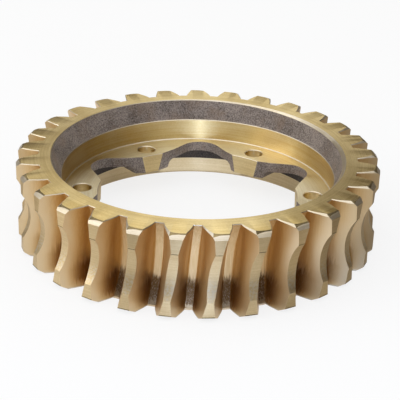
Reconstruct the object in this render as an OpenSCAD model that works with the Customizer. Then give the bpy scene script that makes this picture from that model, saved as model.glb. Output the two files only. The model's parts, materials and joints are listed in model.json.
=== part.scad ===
// Worm wheel: a one-piece bronze rim, cast and then turned, drilled and hobbed.
// It lies flat on its lower face, with its axis along Z. All sizes are in mm and degrees.

/* [Teeth] */
// number of teeth
teeth = 29; // [27:1:33]
// module, the pitch diameter divided by the number of teeth
tooth_module = 8; // [7.6:0.1:8.4]
// pressure angle of the hob that cut the teeth
pressure_angle = 20; // [18:0.5:22]
// pitch diameter of the hob that cut the teeth
hob_pitch_d = 112; // [100:1:124]
// pitch diameter of the single-start worm, whose thread gives the gaps their slant
worm_pitch_d = 82; // [74:1:100]
// height of a tooth tip above the pitch circle in the throat, in modules
addendum_share = 0.95; // [0.9:0.05:1]
// radius of the throat that is turned into the outside of the rim
throat_form_r = 30.5; // [29:0.5:36]
// depth of a tooth gap below the pitch circle, in modules
dedendum_share = 1.25; // [1.15:0.05:1.3]
// width of the gap at its root
root_w = 5.2; // [4.4:0.1:6]
// azimuth of the middle of the first tooth, at half height
first_tooth_azimuth = 90.4; // [84:0.1:96]

/* [Rim] */
// height of the rim along the axis
rim_h = 61.5; // [58:0.5:65]
// how far the straight lands stand above the bottom of the throat
land_rise = 5.2; // [4:0.2:5.8]
// chamfer on the upper edge of the teeth
top_chamfer = 3; // [1.5:0.25:4]
// height of the chamfer on the lower edge of the teeth
low_chamfer_h = 2.8; // [1.6:0.2:4]
// width of that chamfer across the lower face
low_chamfer_w = 4.4; // [1.6:0.2:6]
// wall between the tooth roots and the upper register bore
rim_wall = 8.8; // [7:0.2:11]
// chamfer on the inner edge of the upper face
mouth_chamfer = 1.6; // [0.8:0.1:2.4]
// depth of the as-cast mouth below the upper face
mouth_depth = 14.6; // [11:0.2:17]
// width that the as-cast mouth gains over the register bore at its lower edge
mouth_step = 1.2; // [0.6:0.1:2]
// width that the as-cast mouth gains over its depth by its slope
mouth_slope = 4.8; // [2:0.2:6]
// chamfer on the lower edge of the lower bore
foot_chamfer = 1; // [0.5:0.1:2]

/* [Flange] */
// depth of the flange's upper face below the upper face of the rim
flange_depth = 30.6; // [27:0.2:33]
// thickness of the pads round the bolt holes
pad_t = 14; // [12:0.2:15]
// thickness of the as-cast web between the pads
web_t = 7.6; // [6:0.2:9]
// half of the angle that a pad takes up below the web
pad_half_angle = 11.5; // [10:0.5:14]
// how far the pads reach in from the upper register bore
pad_reach = 25.2; // [22:0.2:27]
// how far the lower bore stands out from the upper register bore
bore_step = 4.3; // [2.5:0.1:5]
// height of the lower bore
low_bore_h = 15.2; // [13:0.2:16]
// step in from the upper register bore to the as-cast recess under the flange
recess_step = 1.6; // [0.6:0.1:2.4]
// number of pads and bolt holes
pads = 6; // [5:1:6]

/* [Scallops] */
// radius at the bottom of a scallop
scallop_r = 15.3; // [13:0.1:17]
// ledge left between a scallop and the upper register bore
scallop_ledge = 6; // [4.5:0.1:8]
// slope of a scallop's sides to the radial line
scallop_angle = 35; // [32:1:38]
// how far the straight part of a scallop's side runs towards the axis
scallop_run = 10.5; // [8:0.5:12]
// slope of the scallop's mouth, where its sides open towards the pads
mouth_angle = 42; // [40:1:45]

/* [Bolt holes] */
// diameter of the bolt holes
bolt_d = 13.5; // [11:0.5:15]
// distance of the bolt holes in from the upper register bore
bolt_in = 13.7; // [12:0.1:15]
// edge break on the bolt holes
bolt_break = 0.5; // [0.3:0.1:1]

/* [Hidden] */
$fa = 3;
$fs = 0.8;
pitch_r = tooth_module * teeth / 2;
hob_r = hob_pitch_d / 2;
hob_distance = pitch_r + hob_r;
worm_distance = pitch_r + worm_pitch_d / 2;
lead_per_degree = PI * tooth_module / 360;
throat_r = pitch_r + addendum_share * tooth_module;
outside_r = throat_r + land_rise;
root_r = pitch_r - dedendum_share * tooth_module;
cutter_r = hob_distance - root_r;
half_h = rim_h / 2;
register_r = root_r - rim_wall;
lower_bore_r = register_r + bore_step;
recess_r = register_r - recess_step;
mouth_low_r = register_r + mouth_step;
mouth_top_r = mouth_low_r + mouth_slope;
flange_z = rim_h - flange_depth;
pad_low_z = flange_z - pad_t;
web_low_z = flange_z - web_t;
pad_r = register_r - pad_reach;
bolt_r = register_r - bolt_in;
scallop_c = register_r - scallop_ledge - scallop_r;
gap_out_r = outside_r + 3;
// heights, radii and rolling steps at which the flanks are worked out
gap_levels = [-1.04, -0.7, -0.35, 0, 0.35, 0.7, 1.04];
gap_shares = [0, 0.24, 0.48, 0.68, 0.84, 1];
roll_steps = [-18, -15, -12, -10, -8, -6, -4.5, -3, -1.5, 0, 1.5, 3, 4.5, 6, 8, 10, 12, 15, 18];

// Tooth gap, rolled from the thread of the hob

// distance of a point of the wheel from the hob's axis
function hob_radius(x, z) = sqrt(pow(hob_distance - x, 2) + z * z);
// middle of the thread there: it climbs with the turn round the worm, to the right
function thread_middle(x, z) = lead_per_degree * atan2(z, worm_distance - x);
// half thickness of the hob's thread there
function thread_half(x, z) = root_w / 2 + (cutter_r - hob_radius(x, z)) * tan(pressure_angle);
// one flank of the thread, moved along the hob by a rolling step
function flank_y(x, z, side, step) = thread_middle(x, z) + side * thread_half(x, z) + step;
// where that flank stands at a radius of the wheel, by repeated approach
function flank_x(r, z, side, step, x, n) =
    n == 0 ? x : flank_x(r, z, side, step,
        sqrt(max(1, r * r - pow(flank_y(x, z, side, step), 2))), n - 1);
// its azimuth on the wheel once the wheel has rolled with it
function rolled_azimuth(r, z, side, step) =
    let (x = flank_x(r, z, side, step, r, 6))
    atan2(flank_y(x, z, side, step), x) - step / pitch_r * 180 / PI;
// the widest cut of all the rolling steps; the thread ends at the cutter's outside
function cut_azimuth(r, z, side) =
    let (found = [for (step = roll_steps)
        let (x = flank_x(r, z, side, step, r, 6))
        if (hob_radius(x, z) <= cutter_r + 0.01) side * rolled_azimuth(r, z, side, step)])
    side * max(concat(found, [side * rolled_azimuth(r, z, side, 0)]));
function gap_root_r(z) = hob_distance - sqrt(cutter_r * cutter_r - z * z);
function gap_radius(z, share) = gap_root_r(z) + share * (gap_out_r - gap_root_r(z));
function on_wheel(r, azimuth, z) = [r * cos(azimuth), r * sin(azimuth), z + half_h];
// one level of the gap: down one flank, along the root and up the other
function gap_level(z) = concat(
    [for (i = [len(gap_shares) - 1 : -1 : 0])
        let (r = gap_radius(z, gap_shares[i])) on_wheel(r, cut_azimuth(r, z, -1), z)],
    [for (i = [0 : len(gap_shares) - 1])
        let (r = gap_radius(z, gap_shares[i])) on_wheel(r, cut_azimuth(r, z, 1), z)]);
gap_n = 2 * len(gap_shares);
gap_points = [for (level = gap_levels) each gap_level(level * half_h)];
gap_sides = [for (k = [0 : len(gap_levels) - 2]) for (i = [0 : gap_n - 1])
    let (a = k * gap_n + i, b = k * gap_n + (i + 1) % gap_n)
    each [[a, b, a + gap_n], [b, b + gap_n, a + gap_n]]];
gap_last = (len(gap_levels) - 1) * gap_n;
gap_ends = [[for (i = [gap_n - 1 : -1 : 0]) i], [for (i = [0 : gap_n - 1]) gap_last + i]];

module tooth_gap()
    polyhedron(points = gap_points, faces = concat(gap_sides, gap_ends), convexity = 4);

// Rim section, turned about the axis: the throat is an arc at half height
module rim_section()
    difference() {
        polygon([
            [lower_bore_r + foot_chamfer, 0],
            [outside_r - low_chamfer_w, 0],
            [outside_r, low_chamfer_h],
            [outside_r, rim_h - top_chamfer],
            [outside_r - top_chamfer, rim_h],
            [mouth_top_r + mouth_chamfer, rim_h],
            [mouth_top_r, rim_h - mouth_chamfer],
            [mouth_low_r, rim_h - mouth_depth + mouth_step],
            [register_r, rim_h - mouth_depth],
            [register_r, flange_z - 1],
            [recess_r, flange_z - 1],
            [recess_r, low_bore_h],
            [lower_bore_r, low_bore_h],
            [lower_bore_r, foot_chamfer]
        ]);
        translate([throat_r + throat_form_r, half_h]) circle(r = throat_form_r, $fn = 180);
    }

// Scallop between two pads: a rounded notch that opens towards the axis
scallop_touch = [scallop_c + scallop_r * sin(scallop_angle), scallop_r * cos(scallop_angle)];
scallop_bend = scallop_touch + scallop_run * [-1, tan(scallop_angle)];
scallop_end = scallop_bend + 40 * [-1, tan(mouth_angle)];
module scallop()
    union() {
        translate([scallop_c, 0]) circle(r = scallop_r, $fn = 90);
        polygon([
            scallop_touch, scallop_bend, scallop_end,
            [scallop_end[0], -scallop_end[1]], [scallop_bend[0], -scallop_bend[1]],
            [scallop_touch[0], -scallop_touch[1]]
        ]);
    }

// Flange outline: the ring inside the rim, less the scallops and the turned passage
module flange_outline()
    difference() {
        circle(r = register_r + 1, $fn = 240);
        circle(r = pad_r, $fn = 180);
        for (k = [0 : pads - 1]) rotate((k + 0.5) * 360 / pads) scallop();
    }

// Outline of the pads alone, as wide as the bosses under the web
pad_side = outside_r * [cos(pad_half_angle), sin(pad_half_angle)];
module pad_outline()
    intersection() {
        flange_outline();
        union() {
            for (k = [0 : pads - 1]) rotate(k * 360 / pads)
                polygon([[0, 0], [pad_side[0], -pad_side[1]], pad_side]);
        }
    }

module flange() {
    translate([0, 0, web_low_z]) linear_extrude(web_t) flange_outline();
    translate([0, 0, pad_low_z]) linear_extrude(pad_t) pad_outline();
}

module bolt_hole()
    rotate_extrude($fn = 48)
        polygon([
            [0, pad_low_z - 1],
            [bolt_d / 2 + bolt_break + 1, pad_low_z - 1],
            [bolt_d / 2, pad_low_z + bolt_break],
            [bolt_d / 2, flange_z - bolt_break],
            [bolt_d / 2 + bolt_break + 1, flange_z + 1],
            [0, flange_z + 1]
        ]);

module worm_wheel()
    color([0.72, 0.58, 0.34])
    difference() {
        union() {
            rotate_extrude($fn = 240) rim_section();
            flange();
        }
        for (k = [0 : pads - 1]) rotate(k * 360 / pads) translate([bolt_r, 0, 0]) bolt_hole();
        for (k = [0 : teeth - 1]) rotate(first_tooth_azimuth + (k + 0.5) * 360 / teeth) tooth_gap();
    }

worm_wheel();
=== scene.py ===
# %% [markdown]
# # A bronze worm wheel rim
#
# The object is one casting that was turned, drilled and hobbed. This lesson builds it from two small
# pieces, one tooth with its slice of the rim and one sixth of the bolting flange, lets Geometry Nodes
# set them round the axis, and then gives every machined and as-cast surface its own finish.

import json
import math

import bmesh
import bpy
import numpy as np
from mathutils import Matrix, Vector, geometry

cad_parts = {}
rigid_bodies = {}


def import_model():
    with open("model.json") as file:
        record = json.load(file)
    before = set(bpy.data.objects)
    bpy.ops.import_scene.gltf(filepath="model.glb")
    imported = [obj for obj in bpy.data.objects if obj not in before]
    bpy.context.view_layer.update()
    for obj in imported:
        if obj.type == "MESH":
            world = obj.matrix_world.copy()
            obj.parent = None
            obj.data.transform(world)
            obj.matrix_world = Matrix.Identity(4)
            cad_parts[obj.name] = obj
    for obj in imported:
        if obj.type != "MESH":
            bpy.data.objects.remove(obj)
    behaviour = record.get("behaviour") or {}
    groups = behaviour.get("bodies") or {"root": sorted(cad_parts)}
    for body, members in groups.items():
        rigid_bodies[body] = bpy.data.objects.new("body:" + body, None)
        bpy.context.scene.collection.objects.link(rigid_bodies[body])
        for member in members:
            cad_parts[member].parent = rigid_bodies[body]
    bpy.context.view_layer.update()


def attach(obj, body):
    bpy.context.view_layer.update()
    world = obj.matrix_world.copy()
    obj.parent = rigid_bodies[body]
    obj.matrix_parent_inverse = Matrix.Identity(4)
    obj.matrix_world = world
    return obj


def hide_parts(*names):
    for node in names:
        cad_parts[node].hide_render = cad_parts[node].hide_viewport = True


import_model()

# %% [markdown]
# ## Sizes
#
# The sizes are those of the solid model, in millimetres. A mesh is turned into metres only when it is
# made, so the sums below read like a workshop drawing.

# %% Sizes of the wheel
MM = 0.001
teeth = 29
tooth_module = 8.0
pressure_angle = math.radians(20)
hob_pitch_d = 112.0
worm_pitch_d = 82.0
addendum_share = 0.95
dedendum_share = 1.25
root_w = 5.2
land_rise = 5.2
throat_form_r = 30.5
first_tooth_azimuth = math.radians(90.4)
rim_h = 61.5
top_chamfer = 3.0
low_chamfer_h = 2.8
low_chamfer_w = 4.4
rim_wall = 8.8
mouth_chamfer = 1.6
mouth_depth = 14.6
mouth_step = 1.2
mouth_widening = 4.8
foot_chamfer = 1.0
bore_step = 4.3
low_bore_h = 15.2
recess_step = 1.6
flange_depth = 30.6
pad_t = 14.0
web_t = 7.6
pads = 6
pad_reach = 25.2
bolt_in = 13.7
bolt_hole_r = 6.75
bolt_break = 0.5
scallop_r = 15.3
scallop_ledge = 6.0
# a length that counts as nothing
hair = 0.01
print(teeth, "teeth of module", tooth_module, "mm, with", pads, "pads inside")

# %% Places that follow from the sizes
pitch_r = tooth_module * teeth / 2
hob_distance = pitch_r + hob_pitch_d / 2
worm_distance = pitch_r + worm_pitch_d / 2
throat_r = pitch_r + addendum_share * tooth_module
outside_r = throat_r + land_rise
root_r = pitch_r - dedendum_share * tooth_module
cutter_r = hob_distance - root_r
half_h = rim_h / 2
register_r = root_r - rim_wall
lower_bore_r = register_r + bore_step
recess_r = register_r - recess_step
mouth_low_r = register_r + mouth_step
mouth_top_r = mouth_low_r + mouth_widening
mouth_low_z = rim_h - mouth_depth
flange_z = rim_h - flange_depth
web_low_z = flange_z - web_t
pad_low_z = flange_z - pad_t
pad_r = register_r - pad_reach
bolt_r = register_r - bolt_in
scallop_c = register_r - scallop_ledge - scallop_r
half_pitch = math.pi / teeth
print("outside diameter", 2 * outside_r, "mm, height", rim_h, "mm")

# %% [markdown]
# ## Finishes
#
# Each face carries a number that says how that face was made and what became of it, or what shade is painted
# on it: faced, turned, hobbed, bored, left as cast, freshly cut along an edge, darkened along an edge as
# painted shade, or cast skin darkened as painted shade in the recess. Geometry Nodes later read the number
# and set the material.

# %% Finish numbers
FACED, TURNED, FLANK, ROOT, BORED, CAST, FRESH, FLANGE, PAD, COUNTERBORED, SHADED_EDGE, SHADED_RECESS = range(12)
finish_names = ["faced", "turned", "flank", "root", "bored", "cast", "fresh", "flange", "pad",
                "counterbored", "shaded_edge_bronze", "recess"]
print("finishes:", ", ".join(finish_names))


# %% [markdown]
# ## The hobbed tooth gap
#
# A worm wheel's teeth aren't drawn, they are generated: a hob with the thread of the worm turns
# while the wheel rolls past it. The code does the same. The thread's flank is moved along by small
# steps, the wheel is turned back by the same amount, and the widest cut is kept at each point.
# A picture of a tooth would be quicker, but it wouldn't give the hourglass lands and the slant.

# %% Rolling the hob with the wheel
# how far the hob is rolled to either side, in mm, and in how many places the flank is tried
roll_reach = 18
roll_count = 145


def hob_radius(x, z):
    return np.hypot(hob_distance - x, z)


def thread_middle(x, z):
    return tooth_module / 2 * np.arctan2(z, worm_distance - x)


def thread_flank(x, z, side):
    half = root_w / 2 + (cutter_r - hob_radius(x, z)) * math.tan(pressure_angle)
    return thread_middle(x, z) + side * half


def cut_azimuth(r, z, side):
    """Azimuth of one side of the gap at some radii: the widest of all the rolled cuts."""
    r = np.asarray(r, float)[..., None]
    steps = np.linspace(-roll_reach, roll_reach, roll_count)
    x = r + 0 * steps
    for _ in range(10):
        y = thread_flank(x, z, side) + steps
        x = np.sqrt(np.maximum(1, r * r - y * y))
    azimuth = np.arctan2(y, x) - steps / pitch_r
    reached = hob_radius(x, z) <= cutter_r + hair
    widest = np.where(reached, side * azimuth, -math.pi).max(-1)
    return side * np.maximum(widest, side * azimuth[..., len(steps) // 2])


def gap_root(z):
    return hob_distance - math.sqrt(cutter_r ** 2 - z * z)


def blank_r(z):
    """Radius of the turned blank, before hobbing, at a height from the middle."""
    height = z + half_h
    if height < low_chamfer_h:
        return outside_r - low_chamfer_w * (1 - height / low_chamfer_h)
    if height > rim_h - top_chamfer:
        return outside_r - (height - rim_h + top_chamfer)
    if abs(z) < throat_form_r:
        throat = throat_r + throat_form_r - math.sqrt(throat_form_r ** 2 - z * z)
        return min(outside_r, throat)
    return outside_r


throat_half = math.sqrt(throat_form_r ** 2 - (throat_r + throat_form_r - outside_r) ** 2)
print("the throat runs over", round(2 * throat_half, 1), "mm of the height")

# %% [markdown]
# ## One tooth as a grid
#
# At each height the outline runs from the middle of one gap's root, up the flank, over the tip and
# down to the middle of the next root. The same number of points at every height makes a clean grid.
# Heights are placed on the real edges: both chamfers and both ends of the throat.

# %% Outline of a tooth at one height
root_shares = [0, 0.34, 0.68, 0.94]
flank_shares = [0, 0.025, 0.06, 0.12, 0.21, 0.32, 0.45, 0.58, 0.71, 0.83, 0.93, 1]
land_shares = [0.2, 0.4, 0.6, 0.8]
burr_w = 0.55


def tooth_outline(z):
    bottom = gap_root(z)
    radii = bottom + np.array(flank_shares) * (blank_r(z) - bottom)
    middle = float(thread_middle(bottom, z))
    points = []
    for share in root_shares:
        y = middle + share * root_w / 2
        points.append((math.hypot(bottom, y), math.atan2(y, bottom) - half_pitch))
    rising = cut_azimuth(radii, z, 1) - half_pitch
    falling = cut_azimuth(radii, z, -1) + half_pitch
    points += list(zip(radii, rising))
    for share in land_shares:
        points.append((blank_r(z), rising[-1] + share * (falling[-1] - rising[-1])))
    points += list(zip(radii[::-1], falling[::-1]))
    for share in root_shares[::-1]:
        y = middle - share * root_w / 2
        points.append((math.hypot(bottom, y), math.atan2(y, bottom) + half_pitch))
    return [(r * math.cos(a), r * math.sin(a)) for r, a in points]


n_root = len(root_shares)
n_flank = len(flank_shares)
n_land = len(land_shares)


def outline_kind(i):
    if i < n_root or i >= n_root + 2 * n_flank + n_land - 1:
        return ROOT
    if n_root + n_flank - 1 <= i < n_root + n_flank + n_land:
        return TURNED
    return FLANK


low_burr = 0.6
low_throat = half_h - throat_half
high_throat = half_h + throat_half
low_edge = low_chamfer_h + 0.7
throat_edge = high_throat + 0.45
# the real edges, the ends of the painted shade lines, and enough heights between them for smooth flanks
heights = [0, low_burr, 1.7, low_chamfer_h, low_edge, 4.5, 7, 10, low_throat]
heights += list(np.linspace(low_throat, high_throat, 17)[1:-1])
heights += [high_throat, throat_edge, 50.5, 53.5, 56.5, rim_h - top_chamfer, rim_h - 1.7, rim_h - burr_w]
print("a tooth has", len(heights), "heights of", len(tooth_outline(0.0)), "points")


# %% [markdown]
# ## A small mesh builder
#
# Both slices are collected as points and faces first. Four numbers go with each point: how near it
# lies to the root of a gap, whether it sits on a burr, how far it follows the core of the as-cast
# mouth, and whether it is free as-cast skin.

# %% Collecting points and faces
class Slice:
    def __init__(self):
        self.points = []
        self.depth = []
        self.burr = []
        self.core = []
        self.faces = []
        self.finish = []

    def point(self, x, y, z, depth=0.0, burr=0.0, core=0.0):
        self.points.append((x, y, z))
        self.depth.append(depth)
        self.burr.append(burr)
        self.core.append(core)
        return len(self.points) - 1

    def face(self, corners, finish):
        self.faces.append(corners)
        self.finish.append(finish)

    def strip(self, low, high, finish):
        for i in range(len(low) - 1):
            kind = finish(i) if callable(finish) else finish
            self.face((low[i], low[i + 1], high[i + 1], high[i]), kind)

    def zip_rows(self, outer, inner, finish):
        """Fill between two rows with unlike steps by triangles, always going on to the nearer point."""
        def azimuth(k):
            return math.atan2(self.points[k][1], self.points[k][0])
        i = 0
        j = 0
        while i < len(outer) - 1 or j < len(inner) - 1:
            more_outer = i < len(outer) - 1
            more_inner = j < len(inner) - 1
            if more_outer and (not more_inner or azimuth(outer[i + 1]) <= azimuth(inner[j + 1])):
                self.face((inner[j], outer[i], outer[i + 1]), finish)
                i += 1
            else:
                self.face((inner[j], outer[i], inner[j + 1]), finish)
                j += 1

    def build(self, name):
        mesh = bpy.data.meshes.new(name)
        mesh.from_pydata([Vector(p) * MM for p in self.points], [], self.faces)
        other = np.zeros(len(self.points), bool)
        for corners, kind in zip(self.faces, self.finish):
            if kind != CAST:
                other[list(corners)] = True
        layers = {"depth": self.depth, "burr": self.burr, "core": self.core,
                  "skin": np.where(other, 0.0, 1.0)}
        for layer, values in layers.items():
            attribute = mesh.attributes.new(layer, "FLOAT", "POINT")
            attribute.data.foreach_set("value", np.array(values, np.float32))
        attribute = mesh.attributes.new("finish", "INT", "FACE")
        attribute.data.foreach_set("value", np.array(self.finish, np.int32))
        made = bpy.data.objects.new(name, mesh)
        bpy.context.scene.collection.objects.link(made)
        print(name, "has", len(self.points), "points and", len(self.faces), "faces")
        return made


# %% [markdown]
# ## The slice of the rim
#
# The tooth grid gets a narrow burr strip round its upper edge, where the facing tool pushed metal
# over the gaps. On one flank the strip widens to a filed bevel towards the tip, and below each gap a
# small burr stands out. The upper face then runs in to the mouth, and the mouth down to the register
# bore. Rings inside the rim have twelve steps to a tooth, so that they meet the flange point for point.

# %% Rings, insets and bevels
ring_steps = 12
# the rings are turned back so that a ring point falls on the flange's own joints
ring_shift = math.radians(90) - first_tooth_azimuth
rim = Slice()


def ring(part, r, z, count, half_angle, shift=0.0, core=0.0):
    row = []
    for k in range(count + 1):
        a = -half_angle + 2 * half_angle * k / count + shift
        row.append(part.point(r * math.cos(a), r * math.sin(a), z, core=core))
    return row


def depth_values():
    rising = [1.0] * n_root + [1 - share for share in flank_shares]
    return rising + [0.0] * n_land + rising[::-1]


def turned_in(outline, inset):
    """The outline moved inwards, each point by its own inset."""
    flat = np.array(outline)
    turn = np.array([[math.cos(2 * half_pitch), -math.sin(2 * half_pitch)],
                     [math.sin(2 * half_pitch), math.cos(2 * half_pitch)]])
    before = flat[-2] @ turn
    after = flat[1] @ turn.T
    wide = np.vstack([before, flat, after])
    along = np.diff(wide, axis=0)
    along /= np.linalg.norm(along, axis=1)[:, None]
    inward = np.stack([-along[:, 1], along[:, 0]], axis=1)
    mean = inward[:-1] + inward[1:]
    mean /= np.maximum(np.linalg.norm(mean, axis=1), 0.2)[:, None]
    stretch = np.clip(1 / np.maximum((mean * inward[1:]).sum(1), 0.5), 1, 1.6)
    return flat + mean * (np.array(inset) * stretch)[:, None]


def bevel_shares():
    rising = [0.0] * n_root + [share ** 1.5 for share in flank_shares]
    return np.array(rising + [0.5, 0.15] + [0.0] * (n_land - 2 + n_flank + n_root))


depths = depth_values()
bevels = bevel_shares()
print("a ring has", ring_steps, "steps to a tooth, turned by", round(math.degrees(ring_shift), 2), "degrees")

# %% Rows of the tooth, from the lower face up
filed_deep = 0.95
filed_wide = 1.3
foot_burr_share = 0.005
rows = []
for height in heights:
    burr_here = 1.0 if height in (low_burr, heights[-1]) else 0.0
    outline = np.array(tooth_outline(height - half_h))
    levels = np.full(len(outline), float(height))
    if height == heights[-1]:
        lower = np.array(tooth_outline(heights[-2] - half_h))
        share = bevels * filed_deep / (height - heights[-2])
        outline = outline + (lower - outline) * share[:, None]
        levels -= bevels * filed_deep
    if height == 0:
        outline *= 1 + foot_burr_share * np.clip(np.array(depths) * 2 - 1, 0, 1)[:, None]
    row = []
    for (x, y), level, depth in zip(outline, levels, depths):
        row.append(rim.point(x, y, level, depth, burr_here))
    rows.append(row)
for level in range(len(rows) - 1):
    # on the land, the strips below its lower edge and the thin strip above the throat are dark: painted
    # shade along those edges
    def kind_here(i, height=heights[level]):
        kind = outline_kind(i)
        if kind == TURNED and (height < low_edge - hair or height == high_throat):
            return SHADED_EDGE
        if kind == TURNED and height >= rim_h - top_chamfer - hair or height < low_burr:
            return FRESH
        return kind
    rim.strip(rows[level], rows[level + 1], kind_here)

top_row = []
for (x, y), depth in zip(turned_in(tooth_outline(half_h), burr_w + filed_wide * bevels), depths):
    top_row.append(rim.point(x, y, rim_h, depth, 0.0))
# over the lands this burr strip is dark, a painted shade line along the top edge; elsewhere it is freshly
# cut
rim.strip(rows[-1], top_row, lambda i: SHADED_EDGE if outline_kind(i) == TURNED else FRESH)
print("the outside of a tooth has", len(rim.faces), "faces")

# %% Upper face, mouth and register
bright_edge = 0.45
corner_w = 0.6
mouth_edge = ring(rim, mouth_top_r + mouth_chamfer, rim_h, ring_steps, half_pitch, ring_shift)
rim.zip_rows(top_row, mouth_edge, FACED)
profile = [(mouth_top_r, rim_h - mouth_chamfer, FRESH, 1.0)]
for share in np.linspace(0, 1, 9)[1:]:
    r = mouth_top_r + share * (mouth_low_r - mouth_top_r)
    z = rim_h - mouth_chamfer + share * (mouth_low_z + mouth_step - rim_h + mouth_chamfer)
    profile.append((r, z, CAST, 1 - share))
profile.append((register_r + bright_edge, mouth_low_z + bright_edge, CAST, 0.0))
profile.append((register_r, mouth_low_z, FRESH, 0.0))
profile.append((register_r, (mouth_low_z + flange_z) / 2, BORED, 0.0))
profile.append((register_r, flange_z + corner_w, BORED, 0.0))
profile.append((register_r - corner_w, flange_z, FRESH, 0.0))
last = mouth_edge
for r, z, kind, core in profile:
    row = ring(rim, r, z, ring_steps, half_pitch, ring_shift, core)
    rim.strip(last, row, kind)
    last = row
print("mouth and register are", len(profile), "strips")

# %% Lower face and lower bore
foot_edge = ring(rim, lower_bore_r + foot_chamfer, 0, ring_steps, half_pitch, ring_shift)
rim.zip_rows(rows[0], foot_edge, FACED)
last = foot_edge
for r, z, kind in [(lower_bore_r, foot_chamfer, TURNED), (lower_bore_r, low_bore_h / 2, COUNTERBORED),
                   (lower_bore_r, low_bore_h, COUNTERBORED), (recess_r, low_bore_h, COUNTERBORED)]:
    row = ring(rim, r, z, ring_steps, half_pitch, ring_shift)
    rim.strip(row, last, kind)
    last = row
tooth_slice = rim.build("tooth_slice")

# %% [markdown]
# ## The slices of the flange
#
# One sixth of the flange holds one pad with its bolt hole and half a scallop on either side. The
# scallop's wall is as cast, with the draft that lets the core come out, so the pad's turned inner face
# narrows downwards. The cores weren't set quite evenly: each pad is a little wider or narrower than
# the next, so the six slices differ in how far their scallops' sides lean.

# %% Outline of the scallops and the boss under the web
wedge = math.pi / pads
draft = math.tan(math.radians(5))
scallop_slope = math.radians(35)
mouth_slope = math.radians(42)
scallop_run = 10.5
edge_break = 0.3
boss_half = math.radians(11.5)
boss_lap = 1.0
boss_side_w = 1.3
boss_side_share = 0.68
fillet_w = 3.4
# lean of the scallops' sides in degrees, before and after each pad, counted from the pad at +X
side_leans = [(0, -0.6), (0.9, -1.8), (2.5, 1.4), (-2.6, 0), (0.5, -1), (-1, 1)]


def scallop_reach(azimuth, offset, leans):
    """Radius at which the scallop's wall stands at an azimuth from the middle of the pad."""
    beta = wedge - abs(azimuth)
    lean = math.radians(leans[0] if azimuth < 0 else leans[1])
    slope = scallop_slope + lean
    radius = scallop_r + offset
    touch = (scallop_c + radius * math.sin(slope), radius * math.cos(slope))
    bend = (touch[0] - scallop_run, touch[1] + scallop_run * math.tan(slope))
    if beta <= math.atan2(touch[1], touch[0]):
        side = radius ** 2 - (scallop_c * math.sin(beta)) ** 2
        return scallop_c * math.cos(beta) + math.sqrt(max(0, side))
    start = touch
    if beta > math.atan2(bend[1], bend[0]):
        start = bend
        slope = mouth_slope + lean
    push = start[1] + start[0] * math.tan(slope)
    return push / (math.sin(beta) + math.cos(beta) * math.tan(slope))


def pad_corner(side, offset, bore, leans):
    """Angle from the middle of the pad to its corner, found by halving."""
    low = math.radians(2)
    high = math.radians(16)
    for _ in range(30):
        middle = (low + high) / 2
        if scallop_reach(side * middle, offset, leans) > bore:
            high = middle
        else:
            low = middle
    return low


def under_height(azimuth, r):
    """Height of the flange's underside: the boss, its leaning side, a fillet and the web."""
    across = r * math.sin(abs(azimuth) - boss_half) + boss_lap
    full = web_low_z - pad_low_z
    if across <= 0:
        return pad_low_z
    if across < boss_side_w:
        return pad_low_z + boss_side_share * full * across / boss_side_w
    share = min(1, (across - boss_side_w) / fillet_w)
    return pad_low_z + full * (boss_side_share + (1 - boss_side_share) * (1 - (1 - share) ** 2))


for number, leans in enumerate(side_leans):
    width = pad_r * (pad_corner(-1, 0, pad_r, leans) + pad_corner(1, 0, pad_r, leans))
    print("pad", number, "is", round(width, 1), "mm wide at the top of its inner face")

# %% Walls of the scallops and the pad's inner face
pad_shares = np.linspace(0, 1, 13)
side_shares = np.concatenate([np.linspace(0, 0.3, 13), np.linspace(0.3, 1, 25)[1:]])
n_pad = len(pad_shares)
n_side = len(side_shares)
wall_shares = [0, 0.12, 0.3, 0.5, 0.7, 0.85, 0.94, 1]


def wall_azimuth(i, offset, bore, leans):
    left = pad_corner(-1, offset, bore, leans)
    right = pad_corner(1, offset, bore, leans)
    if i < n_side - 1:
        return -left - side_shares[n_side - 1 - i] * (wedge - left)
    if i < n_side + n_pad - 1:
        return -left + pad_shares[i - n_side + 1] * (left + right)
    return right + side_shares[i - n_side - n_pad + 2] * (wedge - right)


def wall_kind(i):
    return PAD if n_side - 1 <= i < n_side + n_pad - 2 else CAST


def wall_row(part, height_of, bore, inset, leans):
    """One row of points along both scallops and the pad; height and draft are found together."""
    row = []
    for i in range(2 * n_side + n_pad - 2):
        a = wall_azimuth(i, inset, bore, leans)
        on_pad = wall_kind(i) == PAD or wall_kind(i - 1) == PAD
        for _ in range(4):
            z = height_of(a, max(bore, scallop_reach(a, inset, leans)))
            offset = inset + draft * (flange_z - z)
            if on_pad:
                a = wall_azimuth(i, offset, bore, leans)
        r = bore if on_pad else max(bore, scallop_reach(a, offset, leans))
        row.append(part.point(r * math.cos(a), r * math.sin(a), z))
    return row


def flange_wall(part, leans):
    wall_rows = []
    for share in wall_shares:
        def height_here(a, r, share=share):
            start = flange_z - edge_break
            return start + share * (under_height(a, r) - start)
        wall_rows.append(wall_row(part, height_here, pad_r, 0.0, leans))
    for upper, lower in zip(wall_rows, wall_rows[1:]):
        part.strip(upper, lower, wall_kind)
    upper_edge = wall_row(part, lambda a, r: flange_z, pad_r + edge_break, edge_break, leans)

    def edge_kind(i):
        return FRESH if wall_kind(i) == PAD else CAST
    part.strip(upper_edge, wall_rows[0], edge_kind)
    return upper_edge, wall_rows[-1]


print("a row round the scallops and the pad has", 2 * n_side + n_pad - 2, "points")

# %% [markdown]
# ## Flat and nearly flat faces with a hole
#
# The flange's face and its underside both have a hole, so they are filled by a triangle net between
# their edges. On the underside the net also has inner points, which carry the boss and its fillet.

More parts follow.
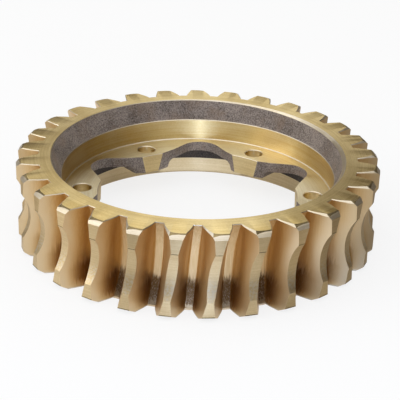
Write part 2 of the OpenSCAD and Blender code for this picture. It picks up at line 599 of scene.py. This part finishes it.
# %% Filling faces between their edges
hole_steps = 48
joint_steps = teeth * ring_steps // pads
net_azimuths = np.radians(np.arange(-29, 29.1, 0.75))
net_radii = np.arange(pad_r + 1.5, 95, 2.4)
wall_clearance = 1.0
hole_clearance = 1.3
print("a bolt hole has", hole_steps, "steps, and the edge of a sixth has", joint_steps)


def hole_loop(part, z, r):
    loop = []
    for k in range(hole_steps):
        a = 2 * math.pi * k / hole_steps
        loop.append(part.point(bolt_r + r * math.cos(a), r * math.sin(a), z))
    return loop


def fill(part, edge, hole, extra, kind_of, upward):
    """Triangles between an edge and a hole, through any extra points."""
    used = edge + hole + extra
    flat = [Vector(part.points[k][:2]) for k in used]
    place = {k: n for n, k in enumerate(used)}
    borders = []
    for loop in (edge, hole):
        for a, b in zip(loop, loop[1:] + loop[:1]):
            borders.append((place[a], place[b]))
    result = geometry.delaunay_2d_cdt(flat, borders, [], 1, 1e-7)
    sources = [used[origin[0]] for origin in result[3]]
    for triangle in result[2]:
        corners = [sources[n] for n in triangle]
        if not set(hole).issuperset(corners):
            part.face(corners if upward else corners[::-1], kind_of(corners))


def under_points(part, leans):
    inner = []
    for a in net_azimuths:
        for r in net_radii:
            x = r * math.cos(a)
            y = r * math.sin(a)
            offset = draft * (flange_z - under_height(a, r))
            clear_of_wall = r > max(pad_r, scallop_reach(a, offset, leans)) + wall_clearance
            clear_of_hole = math.hypot(x - bolt_r, y) > bolt_hole_r + hole_clearance
            if clear_of_wall and clear_of_hole:
                inner.append(part.point(x, y, under_height(a, r)))
    return inner


def under_ring(part):
    row = []
    for k in range(joint_steps + 1):
        a = -wedge + 2 * wedge * k / joint_steps
        row.append(part.point(recess_r * math.cos(a), recess_r * math.sin(a), under_height(a, recess_r)))
    return row


# %% Putting one sixth of the flange together
def hole_wall(part, top, low):
    bore_rows = [top]
    for z in (flange_z - bolt_break, (flange_z + pad_low_z) / 2, pad_low_z + bolt_break):
        bore_rows.append(hole_loop(part, z, bolt_hole_r))
    bore_rows.append(low)
    for n, (upper, lower) in enumerate(zip(bore_rows, bore_rows[1:])):
        kind = FRESH if n in (0, 3) else BORED
        part.strip(upper + upper[:1], lower + lower[:1], kind)


def recess_wall(part, start):
    last = start
    for share in (0.35, 0.7, 1):
        row = []
        for k in start:
            x, y, z = part.points[k]
            row.append(part.point(x, y, z + share * (low_bore_h - z)))
        # the recess wall takes the darker cast skin: painted shade under the web
        part.strip(last, row, SHADED_RECESS)
        last = row


def flange_sixth(number, leans):
    part = Slice()

    def under_kind(corners):
        return PAD if max(part.points[k][2] for k in corners) < pad_low_z + hair else CAST
    upper_edge, lower_edge = flange_wall(part, leans)
    face_edge = ring(part, register_r - corner_w, flange_z, joint_steps, wedge)
    hole_top = hole_loop(part, flange_z, bolt_hole_r + bolt_break)
    fill(part, face_edge + upper_edge[::-1], hole_top, [], lambda corners: FLANGE, True)
    under_edge = under_ring(part)
    hole_low = hole_loop(part, pad_low_z, bolt_hole_r + bolt_break)
    fill(part, under_edge + lower_edge[::-1], hole_low, under_points(part, leans), under_kind, False)
    hole_wall(part, hole_top, hole_low)
    recess_wall(part, under_edge)
    return part.build(f"flange_slice_{number}")


flange_slices = bpy.data.collections.new("flange_slices")
bpy.context.scene.collection.children.link(flange_slices)
for number, leans in enumerate(side_leans):
    sixth = flange_sixth(number, leans)
    bpy.context.scene.collection.objects.unlink(sixth)
    flange_slices.objects.link(sixth)


# %% [markdown]
# ## Finishes as node maths
#
# Bronze is one colour, but each tool leaves its own marks: rings from the lathe, streaks from the hob,
# grain from the sand. The rings also draw a highlight out sideways, so lathe finishes are anisotropic.
# The tooth gaps are painted darker low down, as shade. Pictures of the surfaces could be wrapped round the
# wheel instead,
# but noise on Object coordinates has no seams and stays sharp close up. A small class lets the shader
# sums be written as plain expressions.

# %% A socket with Python's operators
class Wire:
    def __init__(self, tree, socket=None):
        self.tree = tree
        self.socket = socket

    def node(self, kind, settings=None, sockets=None, output=0):
        made = self.tree.nodes.new(kind)
        for name, value in (settings or {}).items():
            setattr(made, name, value)
        for key, value in (sockets or {}).items():
            if isinstance(value, Wire):
                self.tree.links.new(value.socket, made.inputs[key])
            else:
                made.inputs[key].default_value = value
        return Wire(self.tree, made.outputs[output] if made.outputs else None)

    def sum(self, operation, first, second, clamp=False):
        settings = {"operation": operation, "use_clamp": clamp}
        return self.node("ShaderNodeMath", settings, {0: first, 1: second})

    def __add__(self, other):
        return self.sum("ADD", self, other)

    def __radd__(self, other):
        return self.sum("ADD", other, self)

    def __sub__(self, other):
        return self.sum("SUBTRACT", self, other)

    def __rsub__(self, other):
        return self.sum("SUBTRACT", other, self)

    def __mul__(self, other):
        return self.sum("MULTIPLY", self, other)

    def __rmul__(self, other):
        return self.sum("MULTIPLY", other, self)

    def clamped(self):
        return self.sum("ADD", self, 0.0, True)

    def ease(self, low, high):
        settings = {"interpolation_type": "SMOOTHSTEP"}
        sockets = {"Value": self, "From Min": low, "From Max": high}
        return self.node("ShaderNodeMapRange", settings, sockets)

    def blend(self, first, second):
        settings = {"data_type": "RGBA"}
        return self.node("ShaderNodeMix", settings, {0: self, 6: first, 7: second}, 2)


def colour(red, green, blue):
    """A colour as it looks on a screen, from 0 to 255, as the linear colour that a shader needs."""
    linear = []
    for value in (red, green, blue):
        v = value / 255
        linear.append(v / 12.92 if v <= 0.04045 else ((v + 0.055) / 1.055) ** 2.4)
    return (*linear, 1.0)


# %% Coordinates and noise that the finishes share
def places(start):
    """Object coordinates along the three axes, in metres."""
    spot = start.node("ShaderNodeTexCoord", output="Object")
    split = start.node("ShaderNodeSeparateXYZ", None, {0: spot}).socket.node
    return [Wire(start.tree, split.outputs[k]) for k in range(3)]


def axis_distance(x, y):
    return x.node("ShaderNodeMath", {"operation": "SQRT"}, {0: x * x + y * y})


def noise(x, y, z, scale=1.0, detail=3.0, rough=0.55):
    vector = x.node("ShaderNodeCombineXYZ", None, {0: x, 1: y, 2: z})
    sockets = {"Vector": vector, "Scale": scale, "Detail": detail, "Roughness": rough}
    return x.node("ShaderNodeTexNoise", None, sockets)


def new_finish(name):
    material = bpy.data.materials.new(name)
    material.use_nodes = True
    material.node_tree.nodes.clear()
    return material, Wire(material.node_tree)


def close(start, sockets, bump=None, strength=0.2, distance=0.0002):
    if bump is not None:
        settings = {"Height": bump, "Strength": strength, "Distance": distance}
        sockets["Normal"] = start.node("ShaderNodeBump", None, settings)
    shader = start.node("ShaderNodeBsdfPrincipled", None, sockets)
    start.node("ShaderNodeOutputMaterial", None, {"Surface": shader})


# %% Faced, turned and bored bronze
def lathe_finish(name, light, dark, rough, groove, ring_pitch, radial, bump, glint_tone=None):
    material, start = new_finish(name)
    x, y, z = places(start)
    across = axis_distance(x, y) if radial else z
    rings = noise(x * 18, y * 18, across * (1 / ring_pitch), detail=4)
    broad = noise(x * 26, y * 26, z * 26, detail=2)
    grain = noise(x * 900, y * 900, z * 900, detail=2)
    tone = (rings * 0.55 + broad * 0.6 + grain * 0.25 - 0.2).clamped()
    roughness = rough + rings * 0.12 + broad * 0.06 - 0.09
    base = tone.ease(0.25, 0.75).blend(dark, light)
    # painted highlight: pale speckles on the lower half of the throat, where a lamp would glint
    if glint_tone is not None:
        speckle = noise(x * 700, y * 700, z * 700 + 2, detail=2)
        band = z.ease(0.012, 0.016) * (1 - z.ease(0.02, 0.031))
        base = (band * speckle.ease(0.42, 0.6) * 0.5).blend(base, glint_tone)
    sockets = {"Base Color": base, "Roughness": roughness, "Metallic": 1.0, "Anisotropic": groove,
               "Anisotropic Rotation": 0.25}
    close(start, sockets, rings * 0.7 + grain * 0.3, bump)
    return material


faced = lathe_finish("faced bronze", colour(236, 212, 150), colour(200, 171, 104),
                     rough=0.36, groove=0.75, ring_pitch=0.0011, radial=True, bump=0.26)
# the turned lands carry a painted highlight low on the throat
turned = lathe_finish("turned bronze", colour(224, 202, 160), colour(200, 176, 132),
                      rough=0.38, groove=0.85, ring_pitch=0.0009, radial=False, bump=0.16,
                      glint_tone=colour(216, 208, 192))
bored = lathe_finish("bored bronze", colour(236, 218, 170), colour(214, 184, 122),
                     rough=0.38, groove=0.95, ring_pitch=0.0008, radial=False, bump=0.05)
flange_face = lathe_finish("flange bronze", colour(246, 234, 194), colour(222, 200, 146),
                           rough=0.38, groove=0.8, ring_pitch=0.0010, radial=True, bump=0.1)
pad_face = lathe_finish("pad bronze", colour(216, 194, 144), colour(184, 158, 108),
                        rough=0.46, groove=0.6, ring_pitch=0.0012, radial=False, bump=0.2)
fresh = lathe_finish("fresh cut bronze", colour(226, 216, 198), colour(204, 190, 162),
                     rough=0.44, groove=0.3, ring_pitch=0.0007, radial=False, bump=0.3)
counterbored = lathe_finish("counterbored bronze", colour(226, 210, 176), colour(200, 180, 142),
                            rough=0.42, groove=0.94, ring_pitch=0.0008, radial=False, bump=0.05)
# painted shade: a dark, rough bronze for thin strips along edges
shaded_edge_bronze = lathe_finish("edge bronze with painted shade", colour(184, 164, 120), colour(84, 72, 50),
                    rough=0.6, groove=0.3, ring_pitch=0.0010, radial=False, bump=0.3)


# %% Hobbed flanks and roots
def hob_finish(name, light, dark, pale, gap_shade, rough, gap_shade_top, reach, grit):
    material, start = new_finish(name)
    x, y, z = places(start)
    streaks = noise(x * 900, y * 900, z * 14, detail=3)
    fine = noise(x * 2200, y * 2200, z * 50, detail=2)
    patch = noise(x * 60, y * 60, z * 40, detail=2)
    grains = noise(x * 2400, y * 2400, z * 110, detail=2)
    depth = start.node("ShaderNodeAttribute", {"attribute_name": "depth"}, output="Fac")
    tone = (streaks * 0.8 + fine * 0.4 - 0.1).ease(0.25, 0.8)
    clean = (1 - depth.ease(0.05, 0.55)).blend(tone.blend(dark, light), pale)
    # painted shade: below a wavy height the gaps turn darker towards the root, with pale grains in it
    edge = z + streaks * 0.014 + patch * 0.006 - 0.01
    low = 1 - edge.ease(gap_shade_top - 0.003, gap_shade_top + 0.003)
    foot = edge.ease(0.001, 0.006)
    near = depth.ease(reach[0], reach[1])
    shade_here = (low * near * (0.5 + 0.5 * foot)).clamped()
    gap_shaded = (grains.ease(0.52, 0.66) * grit).blend(gap_shade, colour(222, 206, 184))
    base = shade_here.blend(clean, gap_shaded)
    roughness = rough + streaks * 0.12 + shade_here * 0.1 - 0.06
    sockets = {"Base Color": base, "Roughness": roughness, "Metallic": 1.0, "Anisotropic": 0.4}
    close(start, sockets, streaks * 0.6 + fine * 0.4, 0.14)
    return material


# the dark colours below are painted shade low in the tooth gaps
flank = hob_finish("hobbed flank bronze", colour(226, 196, 146), colour(214, 180, 128),
                   pale=colour(224, 200, 160), gap_shade=colour(154, 108, 50), rough=0.38,
                   gap_shade_top=0.0185, reach=(0.2, 0.8), grit=0.12)
root = hob_finish("hobbed root bronze", colour(226, 200, 158), colour(206, 176, 130),
                  pale=colour(226, 200, 158), gap_shade=colour(112, 82, 48), rough=0.36,
                  gap_shade_top=0.0195, reach=(0.2, 0.6), grit=0.3)


# %% As-cast skin
def cast_finish(name, dark, light, rusty):
    material, start = new_finish(name)
    x, y, z = places(start)
    broad = noise(x * 40, y * 40, z * 40, detail=3)
    rust = noise(x * 70 + 3, y * 70, z * 70, detail=3)
    grain = noise(x * 1000, y * 1000, z * 1000, detail=2, rough=0.6)
    pits = noise(x * 620, y * 620, z * 620 + 5, detail=2)
    tone = (broad * 0.45 + grain * 0.9 - 0.18).ease(0.25, 0.75)
    warm = (rust.ease(0.46, 0.7) * 0.45).blend(tone.blend(dark, light), rusty)
    base = (pits.ease(0.6, 0.72) * 0.6).blend(warm, colour(46, 40, 37))
    sockets = {"Base Color": base, "Roughness": 0.55 + grain * 0.25, "Metallic": 0.35}
    close(start, sockets, grain * 0.6 + pits * 0.6, 0.55, 0.0006)
    return material


cast = cast_finish("cast bronze skin", colour(84, 73, 65), colour(162, 149, 138), colour(132, 110, 90))
# the same cast skin made darker as painted shade, for the recess in the shadow of the web
recess = cast_finish("cast skin in painted shade", colour(42, 36, 32), colour(88, 78, 71), colour(74, 58, 46))
finishes = [faced, turned, flank, root, bored, cast, fresh, flange_face, pad_face, counterbored, shaded_edge_bronze,
            recess]
print("finishes made:", ", ".join(material.name for material in finishes))

# %% [markdown]
# ## Setting the slices round the axis
#
# The tree has one instance of the tooth slice for each tooth and takes the flange's six slices in
# turn. Neighbours meet exactly, so a small merge distance closes the ring. Points then move a
# little: the as-cast skin by its own unevenness, the burr by its raggedness, and the as-cast mouth by
# the shift of its core, which leaves the turned chamfer wide on the right and thin on the left.

# %% Building the Geometry Nodes tree
tree = bpy.data.node_groups.new("worm_wheel_round", "GeometryNodeTree")
tree.interface.new_socket("Geometry", in_out="INPUT", socket_type="NodeSocketGeometry")
tree.interface.new_socket("Geometry", in_out="OUTPUT", socket_type="NodeSocketGeometry")
inputs = {}
for label, kind in [("Tooth", "NodeSocketObject"), ("Flange", "NodeSocketCollection"),
                    ("Tooth Count", "NodeSocketInt"), ("First Tooth", "NodeSocketFloat"),
                    ("Pad Count", "NodeSocketInt"), ("Skin Unevenness", "NodeSocketFloat"),
                    ("Burr Raggedness", "NodeSocketFloat"), ("Core Shift", "NodeSocketVector"),
                    ("Merge Distance", "NodeSocketFloat")]:
    inputs[label] = tree.interface.new_socket(label, in_out="INPUT", socket_type=kind)
round_tree = Wire(tree)
entry = tree.nodes.new("NodeGroupInput")


def given(label):
    return Wire(tree, entry.outputs[label])


def copies(shapes, count, first, in_turn):
    points = round_tree.node("GeometryNodePoints", None, {"Count": count})
    index = round_tree.node("GeometryNodeInputIndex")
    turn = first + index * (round_tree.sum("DIVIDE", 2 * math.pi, count))
    euler = round_tree.node("ShaderNodeCombineXYZ", None, {"Z": turn})
    sockets = {"Points": points, "Instance": shapes, "Rotation": euler, "Pick Instance": in_turn,
               "Instance Index": index}
    placed = round_tree.node("GeometryNodeInstanceOnPoints", None, sockets)
    return round_tree.node("GeometryNodeRealizeInstances", None, {"Geometry": placed})


def named(label, kind):
    sockets = {"Name": label}
    return round_tree.node("GeometryNodeInputNamedAttribute", {"data_type": kind}, sockets)


tooth = round_tree.node("GeometryNodeObjectInfo", None, {"Object": given("Tooth")}, "Geometry")
sixths = round_tree.node("GeometryNodeCollectionInfo", None,
                         {"Collection": given("Flange"), "Separate Children": True})
rim_ring = copies(tooth, given("Tooth Count"), given("First Tooth"), False)
flange_ring = copies(sixths, given("Pad Count"), 0.0, True)
join = tree.nodes.new("GeometryNodeJoinGeometry")
for half in (rim_ring, flange_ring):
    tree.links.new(half.socket, join.inputs[0])
wheel_net = round_tree.node("GeometryNodeMergeByDistance", None,
                            {"Geometry": Wire(tree, join.outputs[0]), "Distance": given("Merge Distance")})
spot = round_tree.node("GeometryNodeInputPosition")
normal = round_tree.node("GeometryNodeInputNormal")
uneven = round_tree.node("ShaderNodeTexNoise", None, {"Vector": spot, "Scale": 70.0, "Detail": 2.0}) - 0.5
skin_move = uneven * named("skin", "FLOAT") * given("Skin Unevenness")
ragged = round_tree.node("ShaderNodeTexNoise", None, {"Vector": spot, "Scale": 420.0, "Detail": 3.0}) - 0.45
burr_move = ragged * named("burr", "FLOAT") * given("Burr Raggedness")
along = round_tree.node("ShaderNodeVectorMath", {"operation": "SCALE"}, {0: normal, "Scale": skin_move})
upward = round_tree.node("ShaderNodeCombineXYZ", None, {"Z": burr_move})
# the core's shift moves the mouth sideways, and up or down along the turned chamfer
outward = round_tree.node("ShaderNodeVectorMath", {"operation": "MULTIPLY"}, {0: spot, 1: (1, 1, 0)})
outward = round_tree.node("ShaderNodeVectorMath", {"operation": "NORMALIZE"}, {0: outward})
climb = round_tree.node("ShaderNodeVectorMath", {"operation": "DOT_PRODUCT"},
                        {0: outward, 1: given("Core Shift")}, "Value")
climb = round_tree.node("ShaderNodeCombineXYZ", None, {"Z": climb})
shifted = round_tree.node("ShaderNodeVectorMath", {"operation": "ADD"}, {0: given("Core Shift"), 1: climb})
shifted = round_tree.node("ShaderNodeVectorMath", {"operation": "SCALE"},
                          {0: shifted, "Scale": named("core", "FLOAT")})
moves = round_tree.node("ShaderNodeVectorMath", {"operation": "ADD"}, {0: along, 1: upward})
moves = round_tree.node("ShaderNodeVectorMath", {"operation": "ADD"}, {0: moves, 1: shifted})
wheel_net = round_tree.node("GeometryNodeSetPosition", None, {"Geometry": wheel_net, "Offset": moves})
for number, material in enumerate(finishes):
    same = round_tree.node("FunctionNodeCompare", {"data_type": "INT", "operation": "EQUAL"},
                           {2: named("finish", "INT"), 3: number})
    wheel_net = round_tree.node("GeometryNodeSetMaterial", None,
                                {"Geometry": wheel_net, "Selection": same, "Material": material})
leave = tree.nodes.new("NodeGroupOutput")
tree.links.new(wheel_net.socket, leave.inputs[0])
print("the tree has", len(tree.nodes), "nodes")

# %% Running the tree and keeping a plain mesh
holder = bpy.data.objects.new("wheel_holder", bpy.data.meshes.new("wheel_holder"))
bpy.context.scene.collection.objects.link(holder)
modifier = holder.modifiers.new("round", "NODES")
modifier.node_group = tree
settings = {"Tooth": tooth_slice, "Flange": flange_slices, "Tooth Count": teeth,
            "First Tooth": first_tooth_azimuth, "Pad Count": pads, "Skin Unevenness": 0.0009,
            "Burr Raggedness": 0.0007, "Core Shift": (-0.0009, 0.0009, 0), "Merge Distance": 0.00001}
for label, value in settings.items():
    modifier[inputs[label].identifier] = value
bpy.context.view_layer.update()
graph = bpy.context.evaluated_depsgraph_get()
wheel_mesh = bpy.data.meshes.new_from_object(holder.evaluated_get(graph))
while None in list(wheel_mesh.materials):
    wheel_mesh.materials.pop(index=list(wheel_mesh.materials).index(None))
wheel = bpy.data.objects.new("bronze_rim", wheel_mesh)
bpy.context.scene.collection.objects.link(wheel)
holder.modifiers.remove(modifier)
for spare in (holder, tooth_slice, *flange_slices.objects):
    spare_mesh = spare.data
    bpy.data.objects.remove(spare)
    bpy.data.meshes.remove(spare_mesh)
bpy.data.collections.remove(flange_slices)
print("the tree made", len(wheel_mesh.polygons), "faces")

# %% Turning the faces outwards and measuring the mesh
sharp_angle = math.radians(26)
shell = bmesh.new()
shell.from_mesh(wheel_mesh)
bmesh.ops.recalc_face_normals(shell, faces=shell.faces)
if shell.calc_volume(signed=True) < 0:
    bmesh.ops.reverse_faces(shell, faces=shell.faces)
open_edges = sum(1 for edge in shell.edges if not edge.is_manifold)
volume = shell.calc_volume()
shell.to_mesh(wheel_mesh)
shell.free()
wheel_mesh.shade_smooth()
wheel_mesh.set_sharp_from_angle(angle=sharp_angle)
wheel_mesh.calc_loop_triangles()
print("wheel:", len(wheel_mesh.loop_triangles), "triangles,", open_edges, "open edges,",
      round(volume * 1e9), "cubic mm")
print("materials on it:", [material.name for material in wheel_mesh.materials])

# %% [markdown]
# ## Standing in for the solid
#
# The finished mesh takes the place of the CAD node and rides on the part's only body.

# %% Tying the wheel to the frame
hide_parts("worm_wheel")
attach(wheel, "root")
print("the wheel replaces the CAD node worm_wheel")

# %% [markdown]
# ## Camera
#
# The camera stands in front and above, close enough for the back of the ring to look smaller than its
# front. Its place and lens were worked out from the ellipses of the rim and from the teeth in front.
# It is turned about the axis with the wheel's own small turn in the picture.

# %% Camera
part_turn = math.radians(0.99)
look_aside = math.radians(0.154)
look_down = math.radians(25.92)
tilt = math.radians(1.705)
stand_back = 0.7765
stand_above_rim = 0.3399
sensor_w = 36.0
picture_w_px = 400
focal_length_px = 1189.5
camera_data = bpy.data.cameras.new("camera")
camera_data.sensor_width = sensor_w
camera_data.lens = sensor_w * focal_length_px / picture_w_px
camera_data.clip_start = 0.01
camera = bpy.data.objects.new("camera", camera_data)
bpy.context.scene.collection.objects.link(camera)
stand = Matrix.Rotation(part_turn, 4, "Z") @ Vector((0, -stand_back, rim_h * MM + stand_above_rim))
aim = (Matrix.Rotation(part_turn - look_aside, 4, "Z")
       @ Matrix.Rotation(math.radians(90) - look_down, 4, "X")
       @ Matrix.Rotation(tilt, 4, "Z"))
camera.matrix_world = Matrix.Translation(stand) @ aim
bpy.context.scene.camera = camera
print("camera at", [round(v, 4) for v in stand])

# %% [markdown]
# ## Floor, light and what the metal mirrors
#
# Bare metal shows its surroundings. The floor and the far background are white, a soft lamp hangs
# overhead, a wide one stands to the left like a window, and a small cool one low in front draws a
# streak down the register. Dark cards stand where a workshop would be dark: in front, to the right,
# at the back and on the floor. Pale cards at the back, inside the ring and before it brighten what
# would mirror too little. All cards are seen only in reflections, as a photographer's flags and
# reflectors are kept out of the picture.

# %% Floor and world
floor_reach = 6.0
# the floor lies this far under the wheel, and the lying cards as far above its foot
floor_gap = 0.0002


def plain_mesh(name, points, faces, material):
    mesh = bpy.data.meshes.new(name)
    mesh.from_pydata(points, [], faces)
    mesh.materials.append(material)
    made = bpy.data.objects.new(name, mesh)
    bpy.context.scene.collection.objects.link(made)
    return made


def flat_corners(x, y, z):
    return [(x[0], y[0], z), (x[1], y[0], z), (x[1], y[1], z), (x[0], y[1], z)]


def seen_directly(start, mirrored):
    path = start.node("ShaderNodeLightPath").socket.node
    rays = [Wire(start.tree, path.outputs[label])
            for label in ("Is Camera Ray", "Is Glossy Ray", "Is Transmission Ray")]
    return (rays[0] + rays[1] * mirrored + rays[2]).clamped()


floor_material, start = new_finish("pale floor")
paint = start.node("ShaderNodeBsdfDiffuse", None, {"Color": (0.9, 0.9, 0.9, 1)})
glow = start.node("ShaderNodeEmission", None, {"Color": (1, 1, 1, 1), "Strength": 1.0})
share = seen_directly(start, 0.4) * 0.8
mixed = start.node("ShaderNodeMixShader", None, {0: share, 1: paint, 2: glow})
start.node("ShaderNodeOutputMaterial", None, {"Surface": mixed})
floor_side = (-floor_reach, floor_reach)
floor = plain_mesh("floor", flat_corners(floor_side, floor_side, -floor_gap), [(0, 1, 2, 3)],
                   floor_material)

world = bpy.data.worlds.new("studio")
bpy.context.scene.world = world
world.use_nodes = True
world.node_tree.nodes.clear()
start = Wire(world.node_tree)
soft = start.node("ShaderNodeBackground", None, {"Color": (1, 1, 1, 1), "Strength": 0.72})
white = start.node("ShaderNodeBackground", None, {"Color": (1, 1, 1, 1), "Strength": 1.0})
mixed = start.node("ShaderNodeMixShader", None, {0: seen_directly(start, 1.0), 1: soft, 2: white})
start.node("ShaderNodeOutputWorld", None, {"Surface": mixed})
print("floor and world are white where they are seen")


# %% Cards that only the metal mirrors
card_steps = 24


def card(name, points, faces, tone):
    material, start = new_finish(name)
    glow = start.node("ShaderNodeEmission", None, {"Color": (*tone, 1), "Strength": 1.0})
    start.node("ShaderNodeOutputMaterial", None, {"Surface": glow})
    made = plain_mesh(name, points, faces, material)
    made.visible_camera = False
    made.visible_diffuse = False
    made.visible_shadow = False
    made.visible_transmission = False


def arc(azimuth):
    first, last = azimuth
    return [math.radians(first + (last - first) * k / card_steps) for k in range(card_steps + 1)]


def standing_card(name, distance, azimuth, elevation, tone):
    """A card round the wheel, between two azimuths and two elevations in degrees."""
    points = []
    for a in arc(azimuth):
        for e in elevation:
            points.append((distance * math.cos(a), distance * math.sin(a),
                           distance * math.tan(math.radians(e))))
    faces = [(2 * k, 2 * k + 2, 2 * k + 3, 2 * k + 1) for k in range(card_steps)]
    card(name, points, faces, tone)


def lying_card(name, radius, azimuth, tone):
    """A card on the floor, between two radii in metres and two azimuths in degrees."""
    points = []
    for a in arc(azimuth):
        points += [(r * math.cos(a), r * math.sin(a), floor_gap) for r in radius]
    faces = [(2 * k, 2 * k + 1, 2 * k + 3, 2 * k + 2) for k in range(card_steps)]
    card(name, points, faces, tone)


standing_card("front_card", 1.7, (-150, -20), (0, 34), (0.05, 0.04, 0.032))
standing_card("right_card", 1.75, (-40, 78), (0, 52), (0.11, 0.09, 0.07))
standing_card("back_card", 1.8, (70, 165), (0, 25.3), (0.14, 0.12, 0.1))
standing_card("back_glow", 1.9, (85, 95), (26, 52), (1.72, 1.86, 2.28))
lying_card("floor_card_front", (0.285, 1.65), (-150, -36), (0.08, 0.06, 0.05))
lying_card("floor_card_near", (0.15, 0.285), (-50, -34), (0.68, 0.64, 0.58))
lying_card("floor_card_foot", (0.13, 0.15), (-62, -34), (0.46, 0.42, 0.35))
lying_card("floor_card_right", (0.13, 1.65), (-34, 60), (0.34, 0.31, 0.27))
lying_card("floor_card_back_left", (0.13, 1.65), (150, 192), (0.6, 0.54, 0.44))
lying_card("floor_card_left", (0.18, 1.65), (192, 222), (0.86, 0.81, 0.72))
lying_card("floor_card_inside", (0.055, 0.1), (72, 108), (1.55, 1.58, 1.64))
lying_card("floor_card_pale", (0.135, 0.285), (-104, -76), (1.22, 1.3, 1.5))
# a narrow bright strip across the middle of the passage, for the streak on the register
card("floor_card_middle", flat_corners((-0.008, 0.008), (-0.05, 0.03), floor_gap), [(0, 1, 2, 3)],
     (3.0, 3.5, 4.6))

# %% Lamps
lamp_aim = Vector((0, 0, 0.03))


def lamp(name, place, size, power, tint=(1, 1, 1)):
    data = bpy.data.lights.new(name, "AREA")
    data.shape = "RECTANGLE"
    data.size = size[0]
    data.size_y = size[1]
    data.energy = power
    data.color = tint
    made = bpy.data.objects.new(name, data)
    bpy.context.scene.collection.objects.link(made)
    made.location = place
    made.rotation_euler = (lamp_aim - Vector(place)).to_track_quat("-Z", "Y").to_euler()


lamp("overhead", (-0.2, -0.4, 1.5), (1.8, 2.0), 6.0)
lamp("left_window", (-1.5, -0.5, 0.9), (1.3, 1.1), 7.2)
lamp("front_light", (0.0, -0.85, 0.24), (0.04, 0.14), 1.05, (0.68, 0.92, 1.5))
bpy.context.scene.view_settings.view_transform = "Standard"
print("lamps: overhead, left window and front light")
